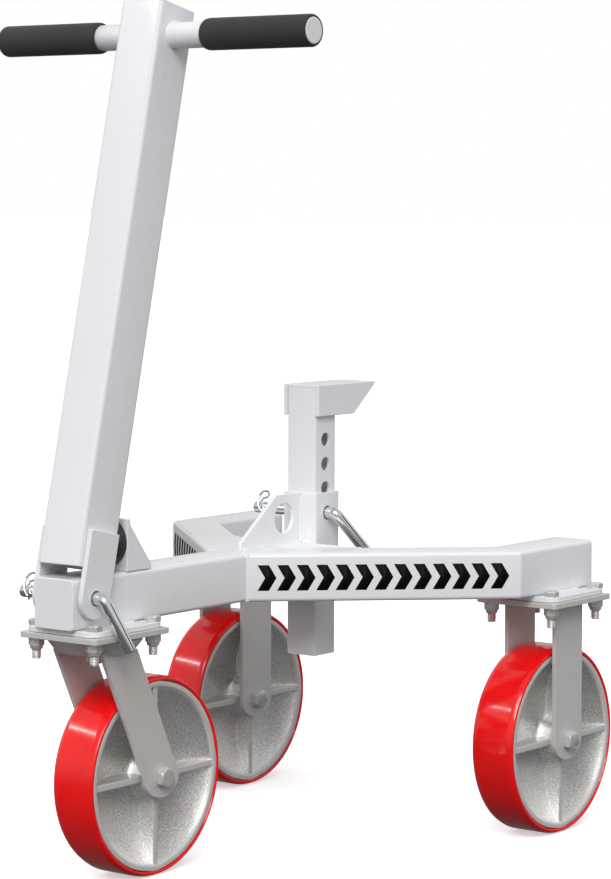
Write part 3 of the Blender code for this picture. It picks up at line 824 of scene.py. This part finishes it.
def rims():
    """Three cast rims: smooth silver on the ring, rib tops and hub face, grainy in the web."""
    bm = bmesh.new()
    near = rim_side(bm, 1)
    far = rim_side(bm, -1)
    skin(bm, near)
    skin(bm, far)
    skin(bm, [near[-1], far[-1]])
    skin(bm, [far[0], near[0]])
    bm.faces.ensure_lookup_table()
    for face in bm.faces:
        middle_point = face.calc_center_median()
        r = math.hypot(middle_point.y, middle_point.z)
        face.material_index = 1 if abs(middle_point.x) > SMOOTH_TOP or r > RIB_OUTER else 0
    rows = [("rim_" + place, middle("tyre_" + place), place + "_wheel", "wheel_" + place)
            for place in PLACES]
    repeat(rows, bm, RIM, smooth=2)


# Half of the tyre's section, from the rim to the tread: (distance from the middle plane, radius).
TYRE_HALF = [(25.0, 96.6), (25.4, 97.2), (25.4, 98.7), (25.1, 99.3), (24.4, 99.75), (20.4, 101.3),
             (19.5, 101.55), (18.6, 101.6)]


def tyres():
    profile = [(-x, r) for x, r in TYRE_HALF] + TYRE_HALF[::-1]
    for place in PLACES:
        bm = bmesh.new()
        lathe(bm, profile, middle("tyre_" + place), RIGHT, 144)
        shape("tread_" + place, bm, ["tyre_" + place], RED, place + "_wheel")


AXLE_HEX_R = 11.0
AXLE_HEX_H = 8.6
AXLE_THREAD = (11.2, 14.3)     # ends of the bare thread, from the fork leg's outer face
# Collar of the axle's lock nut: (distance from the fork leg's outer face, radius).
AXLE_COLLAR = [(8.0, 9.0), (10.6, 8.4), (11.5, 7.2), (11.6, 4.0)]


def axle(place, body):
    """Axle bolt, lock nut and the spanner tube that the bearing turns on."""
    centre = middle("tyre_" + place)
    face = FORK_INNER + FORK_T
    bm = bmesh.new()
    for out in (RIGHT, -RIGHT):
        hexagon(bm, face, face + AXLE_HEX_H, AXLE_HEX_R, centre, out, crown=1.6)
    turned(bm, [(face + a, r) for a, r in AXLE_COLLAR], centre, -RIGHT)
    thread(bm, face + AXLE_THREAD[0], face + AXLE_THREAD[1], PIN_R, centre, -RIGHT)
    turned(bm, [(-face - 1, PIN_R), (face + 1, PIN_R)], centre, RIGHT, 32)
    turned(bm, [(-FORK_INNER, SPANNER_R), (FORK_INNER, SPANNER_R)], centre, RIGHT)
    shape("axle_bolt_" + place, bm, ["axle_" + place], BOLT, body, edge=0.3)


BEARING_BORE = SPANNER_R + 0.4
BEARING_R = 15.1
SEAL_DEPTH = 5.0
# Section of a seal ring: (distance in from the hub's face, radius).
SEAL = [(SEAL_DEPTH, BEARING_BORE), (1.2, BEARING_BORE), (0.6, 10.6), (0.9, 11.4), (0.9, 13.4),
        (0.2, 14.0), (0.1, BEARING_R), (SEAL_DEPTH, BEARING_R)]


def bearing(place):
    """Bearing sleeve in the hub, with its two seal rings."""
    centre = middle("tyre_" + place)
    half = box("wheel_" + place)[1].x - centre.x
    inner = half - SEAL_DEPTH
    bm = bmesh.new()
    for sign in (1, -1):
        lathe(bm, [(half - a, r) for a, r in SEAL], centre, RIGHT * sign, 64)
    lathe(bm, [(-inner, BEARING_BORE), (inner, BEARING_BORE), (inner, BEARING_R), (-inner, BEARING_R)],
          centre, RIGHT, 64)
    shape("bearing_" + place, bm, ["wheel_bearing_" + place], STEEL, place + "_wheel")


# ------------------------ forks

STRAP_HALF = 27.0              # half the width of a leg at its top
FOOT_HALF = 26.5               # half its width at the axle
FOOT_DROP = 21.0
FOOT_STEPS = 20
LEG_WELD_HALF = 26.0
KINGPIN_R = 8.0
CROWN_H = 15.8
# The top plate's race collar, about the kingpin: (height above the plate's underside, radius).
RACE_COLLAR = [(1, 9), (1, 33), (-1.5, 30), (-5.5, 27), (-5.5, 9)]
# The fork's crown and cup, about the kingpin: (height above the crown's underside, radius).
CROWN = [(0, 8.8), (0, 35.5), (0.9, 38.0), (2.6, 40.0), (10.5, 46.2), (12.4, 47.6), (14.4, 48.0),
         (CROWN_H, 47.4), (CROWN_H, 45.0), (8, 42.8), (8, 31.5), (CROWN_H, 31.5), (CROWN_H, 28.2),
         (10, 28.2), (6, 8.8)]


def fork_legs(bm, centre, shift, top):
    """A caster's two legs: straps with a rounded foot at the axle, raked by a shift at the top."""
    outline = [(STRAP_HALF - shift, top)]
    for i in range(FOOT_STEPS + 1):
        angle = math.pi * i / FOOT_STEPS
        outline.append((FOOT_HALF * math.cos(angle), -FOOT_DROP * math.sin(angle)))
    outline.append((-STRAP_HALF - shift, top))
    for x in (-FORK_INNER - FORK_T, FORK_INNER):
        slab(bm, outline, centre + RIGHT * x, REARWARD, UP, FORK_T)


def rigid_bracket(side):
    """Rigid caster's top plate with its two legs welded on."""
    centre = middle("tyre_" + side)
    bm = bmesh.new()
    draw_plate(bm, centre.x, centre.y)
    fork_legs(bm, centre, 0, PLATE_BOTTOM - centre.z + 2)
    for x in (-FORK_INNER - FORK_T, -FORK_INNER, FORK_INNER, FORK_INNER + FORK_T):
        bead(bm, [at(centre.x + x, centre.y - LEG_WELD_HALF, PLATE_BOTTOM),
                  at(centre.x + x, centre.y + LEG_WELD_HALF, PLATE_BOTTOM)], 1.6)
    shape("bracket_" + side, bm, ["rigid_bracket_" + side], ZINC, edge=0.8)


def swivel_top():
    """Top plate of the swivel caster with its raised race, the kingpin and its nut."""
    bm = bmesh.new()
    draw_plate(bm, KINGPIN.x, KINGPIN.y)
    lathe(bm, [(PLATE_BOTTOM + z, r) for z, r in RACE_COLLAR], KINGPIN, UP)
    shape("swivel_top", bm, ["swivel_plate"], ZINC, edge=0.8)
    bm = bmesh.new()
    low = box("kingpin")[0].z
    turned(bm, [(low + 1, KINGPIN_R), (PLATE_TOP - 0.5, KINGPIN_R)], KINGPIN, UP)
    thread(bm, low + 3, low, KINGPIN_R, KINGPIN, UP, pitch=2.0, depth=0.7, steps=32)
    hexagon(bm, low + 11.2, low + 1.5, 13.8, KINGPIN, UP, crown=1.6)
    shape("kingpin_nut", bm, ["kingpin"], BOLT, edge=0.3)


def swivel_fork():
    """Pressed crown with its rolled race cup, and two raked legs."""
    centre = middle("tyre_front")
    low = box("swivel_fork")[1].z - CROWN_H
    bm = bmesh.new()
    lathe(bm, [(low + z, r) for z, r in CROWN], KINGPIN, UP)
    fork_legs(bm, centre, centre.y - KINGPIN.y, low + 3 - centre.z)
    shape("fork", bm, ["swivel_fork"], ZINC, "swivel", edge=0.8)


def ball_race():
    """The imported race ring, in bright steel."""
    race = frame["nodes"]["swivel_ball_race"]
    race.data.materials.clear()
    race.data.materials.append(STEEL[0][0])


def grease_nipple():
    low, high = box("grease_nipple")
    direction = at(0.52, 0.62, -0.72).normalized()
    tip = at(high.x - 0.7, high.y - 0.7, low.z + 0.7)
    bm = bmesh.new()
    turned(bm, [(-12.5, 3.2), (-6.5, 3.2), (-6.0, 2.0), (-3.4, 2.0), (-2.6, 2.7), (-1.6, 2.7),
                (-0.5, 1.9), (0, 1.2)], tip, direction, 32)
    shape("nipple", bm, ["grease_nipple"], NIPPLE, "swivel", edge=0.15)


# ------------------------ height post

POST_WALL = 3.0
POST_ROUND = 3.0
CHEEK_SLOPE = 39.5             # length along Y of the cheek's sloped rear edge, down to its foot
CHEEK_TIP = (2.5, 4.0)         # length and height of the small slope at its top


def post():
    """The height post with its pin holes, and the cap plate that closes its head."""
    bm = bmesh.new()
    straight_tube(bm, at(0, POST_Y, 0), UP, POST, POST_WALL, POST_ROUND, POST_LOW.z, POST_HIGH.z)
    holes = [(POST_PIN + UP * HOLE_PITCH * k, HOLE_R) for k in range(-1, 4)]
    shape("post", bm, ["post_tube"], edge=0.7, holes=holes)
    low, high = box("post_cap")
    bm = bmesh.new()
    slab(bm, rounded_rectangle(POST + GROOVE, high.y - low.y, 1.5),
         at(0, (low.y + high.y) / 2, low.z - GROOVE), RIGHT, REARWARD, high.z - low.z + GROOVE)
    shape("cap", bm, ["post_cap"], edge=0.6)


def cheek(side):
    """Side plate of the head, longer at the top, so that its rear edge slopes."""
    low, high = box("head_cheek_" + side)
    bm = bmesh.new()
    slab(bm, [(low.y, low.z), (high.y - CHEEK_SLOPE, low.z),
              (high.y - CHEEK_TIP[0], high.z - CHEEK_TIP[1]), (high.y, high.z), (low.y, high.z)],
         at(low.x, 0, 0), REARWARD, UP, high.x - low.x)
    shape("cheek_" + side, bm, ["head_cheek_" + side], edge=0.9)


# ------------------------ bumper

def bumper():
    low, high = box("bumper_bracket")
    pad_low, pad_high = box("bumper_pad")
    centre = (pad_low + pad_high) / 2
    thick = 5.0
    bm = bmesh.new()
    slab(bm, [(low.x, low.z - GROOVE), (high.x, low.z - GROOVE), (high.x, high.z), (low.x, high.z)],
         at(0, low.y + thick, 0), RIGHT, UP, thick)
    for x in (low.x + GROOVE, high.x - thick - GROOVE):
        slab(bm, [(low.y + 2, low.z - GROOVE), (high.y, low.z - GROOVE), (high.y, low.z + 5.2),
                  (low.y + 5, high.z - 5.3), (low.y + 2, high.z - 5.3)],
             at(x, 0, 0), REARWARD, UP, thick)
    shape("bumper_bracket_face", bm, ["bumper_bracket"], edge=0.9)
    bm = bmesh.new()
    deep = pad_high.y - pad_low.y
    radius = (pad_high.x - pad_low.x) / 2
    lathe(bm, [(0, 4.3), (0, radius), (-deep + 2.6, radius), (-deep + 1.3, radius - 0.4),
               (-deep + 0.4, radius - 1.3), (-deep, radius - 2.6), (-deep, 11.0), (-deep + 0.5, 9.9),
               (-deep + 1.6, 9.5), (-4.0, 9.3), (-4.0, 4.3)],
          at(0, pad_high.y, centre.z), REARWARD)
    shape("bumper_face", bm, ["bumper_pad"], RUBBER)
    screw_low, screw_high = box("bumper_screw")
    axis = at(0, 0, centre.z)
    bm = bmesh.new()
    turned(bm, [(screw_low.y + 0.1, 5.2), (screw_low.y, 6.4), (screw_low.y + 0.7, 7.3),
                (screw_low.y + 2.9, 7.5)], axis, REARWARD)
    hexagon(bm, low.y + thick, low.y + thick + 6.2, 7.5, axis, REARWARD)
    thread(bm, low.y + thick + 5, screw_high.y, 4.0, axis, REARWARD, pitch=1.25, depth=0.5)
    shape("bumper_bolt", bm, ["bumper_screw"], BOLT, edge=0.25)


# ------------------------ handle

MAST_WALL = 2.6
# Section of the weld round the bar: (distance from the mast's side, radius past the bar's).
BAR_WELD = [(-1, 1.8), (0.3, 1.5), (1.2, 0.6), (1.8, -0.2)]
# Section of an end plug: (distance in from the bar's end, radius short of the bar's).
BAR_PLUG = [(8, 2), (3, 0), (0.9, 0), (0.3, 0.3), (0, 1.0), (0, 1.3)]


def handle():
    """The mast, the bar through it with its welds, and the bar's end plugs."""
    bm = bmesh.new()
    straight_tube(bm, HINGE, MAST_DIR, MAST, MAST_WALL, TUBE_ROUND, MAST_FROM, MAST_TO, closed_end=True)
    shape("mast", bm, ["mast_tube"], body="handle", edge=1.2)
    bm = bmesh.new()
    for sign in (1, -1):
        turned(bm, [(MAST / 2 + a, BAR_R + r) for a, r in BAR_WELD], BAR_CENTRE, RIGHT * sign, 64)
    shape("bar_welds", bm, body="handle")
    bm = bmesh.new()
    turned(bm, [(-BAR_HALF + 3, BAR_R), (BAR_HALF - 3, BAR_R)], BAR_CENTRE, RIGHT, 96)
    shape("bar", bm, ["handle_bar"], body="handle")
    bm = bmesh.new()
    for sign in (1, -1):
        turned(bm, [(BAR_HALF - a, BAR_R - r) for a, r in BAR_PLUG], BAR_CENTRE, RIGHT * sign, 96)
    shape("bar_plugs", bm, (), PLUG, "handle")


EAR_HALF = 21.0
EAR_TOP = 66.0


def ear(side):
    """Hinge ear welded to the side of the mast, with a rounded foot round the pin."""
    low, high = box("hinge_ear_" + side)
    bm = bmesh.new()
    outline = [(EAR_HALF, EAR_TOP), (-EAR_HALF, EAR_TOP)]
    steps = 24
    for i in range(steps + 1):
        angle = math.pi + math.pi * i / steps
        outline.append((EAR_HALF * math.cos(angle), EAR_HALF * math.sin(angle)))
    slab(bm, outline, at(low.x, HINGE.y, HINGE.z), MAST_BACK, MAST_DIR, high.x - low.x)
    shape("ear_" + side, bm, ["hinge_ear_" + side], body="handle", edge=1.0, holes=[(HINGE, HOLE_R)])


# Ends of a grip's section: (distance in from that end, radius past the bar's).
GRIP_INNER = [(0.2, -0.3), (0, 0.5), (0.4, 1.3), (1.5, 2.1), (3.2, 2.7), (5.5, GRIP_R - BAR_R)]
GRIP_OUTER = [(3.2, GRIP_R - BAR_R), (1.6, 2.45), (0.5, 1.65), (0.1, 0.9), (0.5, 0.1), (3.0, -0.3)]


def grip(side, sign):
    """Foam sleeve with softly rounded ends."""
    bm = bmesh.new()
    profile = [(GRIP_FROM + a, BAR_R + r) for a, r in GRIP_INNER]
    profile += [(BAR_HALF - a, BAR_R + r) for a, r in GRIP_OUTER]
    lathe(bm, profile, BAR_CENTRE, RIGHT * sign)
    piece = shape("foam_" + side, bm, ["grip_" + side], FOAM, "handle")


# ------------------------ pull pins and clips

def bend(corner, first, second, radius, steps=14):
    """Points of a fillet that turns from one direction to another at a corner."""
    turn = first.angle(second)
    inward = (second - first * first.dot(second)).normalized()
    centre = corner - first * radius * math.tan(turn / 2) + inward * radius
    angles = [turn * i / steps for i in range(steps + 1)]
    return [centre + (first * math.sin(a) - inward * math.cos(a)) * radius for a in angles]


def pull_pin(name, body, centre, corner_x, swing):
    """Bent pin along X, its handle splayed outward and swung rearward."""
    hang = REARWARD * math.sin(swing) - UP * math.cos(swing)
    grip_way = RIGHT * math.sin(PIN_SPLAY) + hang * math.cos(PIN_SPLAY)
    corner = centre + RIGHT * corner_x
    tip = at(box(name)[0].x, centre.y, centre.z)
    bm = bmesh.new()
    path = [tip, tip + RIGHT * 30] + bend(corner, RIGHT, grip_way, PIN_BEND)
    path.append(corner + grip_way * PIN_HANDLE)
    bent_rod(bm, path, PIN_R, RIGHT.cross(grip_way), tip=1.8, tail=1.0)
    shape(name + "_bar", bm, [name], CHROME, body)


# From the leg in the pin's hole, over the pin in a loop, and down its front: (along X, Y, Z).
CLIP_CURVE = [(0, 0, -8.5), (0, 0, 6.8), (0, 0.9, 8.9), (0, 4.2, 10.0), (0, 8.8, 10.2), (0, 12.0, 12.2),
              (0, 11.0, 15.8), (0, 6.8, 17.6), (0, 1.2, 16.9), (0, -3.6, 13.6), (0, -6.6, 9.0),
              (0.8, -8.3, 4.2), (2.8, -8.6, 0.2), (5.2, -8.1, -3.6)]
CLIP_R = 1.3


def hairpin_clip(name, body, centre):
    """Spring clip: a straight leg through the pin, and a loop over it that grips its front."""
    origin = at(box(name)[0].x + CLIP_R, centre.y, centre.z)
    points = [origin + Vector(point) for point in CLIP_CURVE]
    bm = bmesh.new()
    bent_rod(bm, smooth_path(points, 8), CLIP_R, RIGHT, steps=16, tip=0.5, tail=0.5)
    shape(name + "_wire", bm, [name], CHROME, body)


# ------------------------ arm graphic

CHEVRONS = 13
CHEVRON_PITCH = 20.6
CHEVRON_STROKE = 12.0
CHEVRON_POINT = 8.0
CHEVRON_RISE = 27.0
FILM = 0.12
FILM_GAP = 0.02


def chevrons(side, sign):
    """A row of plain black chevrons cut from vinyl along the arm's front face."""
    run = ARM_RUN[side]
    out = -ARM_BACK[side]
    length = (LEG_HIGH.x - TUBE / 2) / math.cos(ARM_ANGLE)
    row = (CHEVRONS - 1) * CHEVRON_PITCH + CHEVRON_STROKE + CHEVRON_POINT
    face = at(sign * TUBE / 2, ARM_START, FRAME_MID) + out * FILM_GAP
    half = CHEVRON_RISE / 2
    bm = bmesh.new()
    for k in range(CHEVRONS):
        a = (length - row) / 2 + k * CHEVRON_PITCH
        b = a + CHEVRON_STROKE
        outline = [(a, half), (b, half), (b + CHEVRON_POINT, 0), (b, -half), (a, -half),
                   (a + CHEVRON_POINT, 0)]
        ring = [face + run * u + UP * v for u, v in outline]
        loft(bm, [ring, [p + out * FILM for p in ring]])
    shape("graphic_" + side, bm, (), BLACK)


# ------------------------ build the pieces

tongue()
cross_tube()
sleeve()
gusset()
corner_fills()
fillet_welds()
plate_bolts()
rims()
tyres()
swivel_top()
swivel_fork()
grease_nipple()
post()
bumper()
handle()
for place in PLACES:
    caster_pad(place)
    bearing(place)
for side, sign in SIDES:
    arm(side, sign)
    rigid_bracket(side)
    axle(side, "frame")
    cheek(side)
    ear(side)
    grip(side, sign)
    chevrons(side, sign)
axle("front", "swivel")
pull_pin("post_pin", "post_pin", POST_PIN, 33.0, math.radians(34))
pull_pin("hinge_pin", "hinge_pin", HINGE, 43.0, math.radians(16.4))
hairpin_clip("post_pin_clip", "post_clip", POST_PIN)
hairpin_clip("hinge_pin_clip", "hinge_clip", HINGE)

ball_race()


# ------------------------ floor, light and camera

def sheet(name, material, corners):
    """A flat sheet of the studio, in metres, which gives no diffuse light to other things."""
    mesh = bpy.data.meshes.new(name)
    mesh.from_pydata(corners, [], [(0, 1, 2, 3)])
    mesh.materials.append(material)
    made = bpy.data.objects.new(name, mesh)
    made.visible_diffuse = False
    bpy.context.scene.collection.objects.link(made)
    return made


def studio_floor():
    """A large pale sheet with a glow that keeps it even with the backdrop out to the horizon."""
    material = shader("studio_floor", (0.88, 0.88, 0.88), 0.0, 1.0, Emission_Strength=0.5,
                      Emission_Color=(1, 1, 1, 1), Specular_IOR_Level=0.0)[0]
    half = 60
    floor = sheet("studio_floor", material,
                  [(-half, -half, 0), (half, -half, 0), (half, half, 0), (-half, half, 0)])
    floor.visible_glossy = False


def dark_flag():
    """A black upright card to the right, so that bright bars show a dark stripe."""
    material = shader("dark_flag", (0.01, 0.01, 0.01), 0.0, 1.0, Specular_IOR_Level=0.0)[0]
    card = sheet("dark_flag", material,
                 [(-0.55, 0, -0.9), (0.55, 0, -0.9), (0.55, 0, 0.9), (-0.55, 0, 0.9)])
    card.location = (2.4, 1.2, 0.7)
    card.rotation_euler = (0, 0, math.radians(116))
    card.visible_camera = False
    card.visible_shadow = False


# Brightness of the room straight down, straight up, and between them (0 is down, 1 is up).
ROOM_LOWEST = 0.08
ROOM_TOP = 0.6
ROOM_LEVELS = [(0.42, 0.16), (0.5, 0.42), (0.58, 0.72), (0.8, 0.6)]


def studio_world():
    """White backdrop, and a softer graded room for light and reflections."""
    world = bpy.data.worlds.new("studio")
    bpy.context.scene.world = world
    world.use_nodes = True
    tree = world.node_tree
    tree.nodes.clear()
    place = tree.nodes.new("ShaderNodeTexCoord")
    split = tree.nodes.new("ShaderNodeSeparateXYZ")
    ramp = tree.nodes.new("ShaderNodeValToRGB")
    tree.links.new(place.outputs["Generated"], split.inputs["Vector"])
    tree.links.new(spread(tree, split.outputs["Z"], 0, 1, -1, 1), ramp.inputs["Fac"])
    ramp.color_ramp.elements[0].color = (ROOM_LOWEST, ROOM_LOWEST, ROOM_LOWEST, 1)
    ramp.color_ramp.elements[1].color = (ROOM_TOP, ROOM_TOP, ROOM_TOP, 1)
    for position, level in ROOM_LEVELS:
        ramp.color_ramp.elements.new(position).color = (level, level, level, 1)
    room = tree.nodes.new("ShaderNodeBackground")
    tree.links.new(ramp.outputs["Color"], room.inputs["Color"])
    room.inputs["Strength"].default_value = 1.0
    backdrop = tree.nodes.new("ShaderNodeBackground")
    backdrop.inputs["Color"].default_value = (1, 1, 1, 1)
    backdrop.inputs["Strength"].default_value = 1.0
    ray = tree.nodes.new("ShaderNodeLightPath")
    mix = tree.nodes.new("ShaderNodeMixShader")
    out = tree.nodes.new("ShaderNodeOutputWorld")
    tree.links.new(ray.outputs["Is Camera Ray"], mix.inputs["Fac"])
    tree.links.new(room.outputs["Background"], mix.inputs[1])
    tree.links.new(backdrop.outputs["Background"], mix.inputs[2])
    tree.links.new(mix.outputs["Shader"], out.inputs["Surface"])


def lamp(name, kind, energy, source):
    """A light whose beam comes from the direction of a source."""
    light = bpy.data.lights.new(name, kind)
    light.energy = energy
    made = bpy.data.objects.new(name, light)
    made.rotation_mode = "QUATERNION"
    made.rotation_quaternion = Vector(source).to_track_quat("Z", "Y")
    bpy.context.scene.collection.objects.link(made)
    return made


def sun():
    """A far, wide light that falls evenly on the whole floor."""
    made = lamp("sun", "SUN", 1.8, (0.43, -0.65, 0.625))
    made.data.angle = math.radians(30)


def strip():
    """A long narrow softbox to the front left, which draws the highlight on the tyres."""
    place = at(-1.8, -1.74, 1.95)
    aim = at(0, 0, 0.3)
    made = lamp("strip", "AREA", 8, place - aim)
    made.location = place
    made.data.shape = "RECTANGLE"
    made.data.size = 1.6
    made.data.size_y = 0.08


CAMERA_LENS = 121.7
CAMERA_TILT = -2.064           # degrees up, roll and turn from straight along +Y
CAMERA_ROLL = -0.2
CAMERA_TURN = 37.203


def photo_camera():
    camera = bpy.data.cameras.new("camera")
    camera.lens = CAMERA_LENS
    camera.sensor_width = 36
    camera.shift_x = -0.0008
    camera.shift_y = -0.1587
    camera.clip_end = 200
    seen = bpy.data.objects.new("camera", camera)
    seen.location = (1.95, POST_Y * MM - 2.58, 0.6918)
    seen.rotation_euler = (math.radians(90 + CAMERA_TILT), math.radians(CAMERA_ROLL),
                           math.radians(CAMERA_TURN))
    bpy.context.scene.collection.objects.link(seen)
    bpy.context.scene.camera = seen


studio_floor()
dark_flag()
studio_world()
sun()
strip()
photo_camera()
bpy.context.scene.view_settings.view_transform = "Standard"
